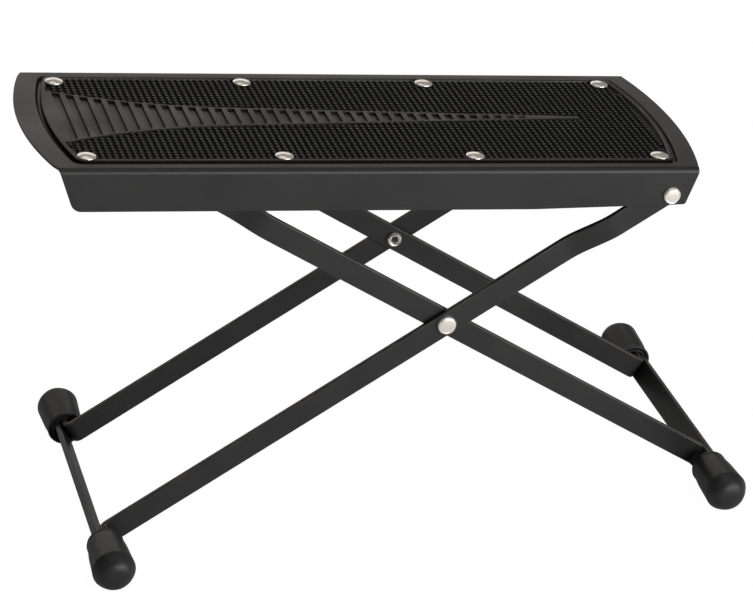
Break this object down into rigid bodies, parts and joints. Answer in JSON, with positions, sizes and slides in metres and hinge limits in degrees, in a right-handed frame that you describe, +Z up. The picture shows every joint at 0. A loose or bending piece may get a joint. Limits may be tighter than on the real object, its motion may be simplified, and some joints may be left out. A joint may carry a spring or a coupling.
{
  "type": "folding guitar footrest",
  "caption": "Folding footrest for a seated guitarist: a tilted sheet-steel platform with a ribbed rubber mat on crossed flat-bar legs, with notched height setting.",
  "frame": {"origin": "on the floor, at the middle of the footrest's bounding box", "axes": "+Z up; +X along the platform towards its low, pivoted end; +Y towards the far side, with the footrest mirrored about the plane y = 0"},
  "size_m": [0.3322, 0.17, 0.2044],
  "materials": {
    "powder_black": "warm black powder coat, semi-matt",
    "powder_black_bar": "black powder coat, semi-matt, a little brown on the worn edges",
    "mat_rubber": "moulded black rubber, fine pyramid grain with a smooth rim and ladder",
    "cap_rubber": "moulded black rubber, satin",
    "nickel": "bright nickel plate",
    "blackened_steel": "blackened steel",
    "zinc": "zinc plate, dull"
  },
  "bodies": {
    "outer_legs": {"outer_leg_frame": "powder_black_bar", "outer_foot_cap_near": "cap_rubber", "outer_foot_cap_far": "cap_rubber", "central_rivet_near": "nickel", "central_rivet_far": "nickel", "pivot_washer_near": "blackened_steel", "pivot_washer_far": "blackened_steel"},
    "inner_legs": {"inner_leg_frame": "powder_black_bar", "inner_foot_cap_near": "cap_rubber", "inner_foot_cap_far": "cap_rubber", "catch_rod": "zinc"},
    "platform": {"top_plate": "powder_black", "rubber_mat": "mat_rubber", "mat_rivet_near_1": "nickel", "mat_rivet_near_2": "nickel", "mat_rivet_near_3": "nickel", "mat_rivet_near_4": "nickel", "mat_rivet_far_1": "nickel", "mat_rivet_far_2": "nickel", "mat_rivet_far_3": "nickel", "mat_rivet_far_4": "nickel", "catch_rack_near": "zinc", "catch_rack_far": "zinc", "platform_rivet_near": "nickel", "platform_rivet_far": "nickel"}
  },
  "joints": [
    {"name": "leg_fold", "type": "hinge", "parent": "outer_legs", "child": "inner_legs", "pos_m": [0.02298, 0, 0.10163], "axis": [0, -1, 0], "range_deg": [0, 62]},
    {"name": "platform_tilt", "type": "hinge", "parent": "outer_legs", "child": "platform", "pos_m": [0.12851, 0, 0.16001], "axis": [0, -1, 0], "range_deg": [0, 34.5]}
  ],
  "couplings": [
    {"joint": "platform_tilt", "follows": "leg_fold", "ratio": 0.5506}
  ]
}
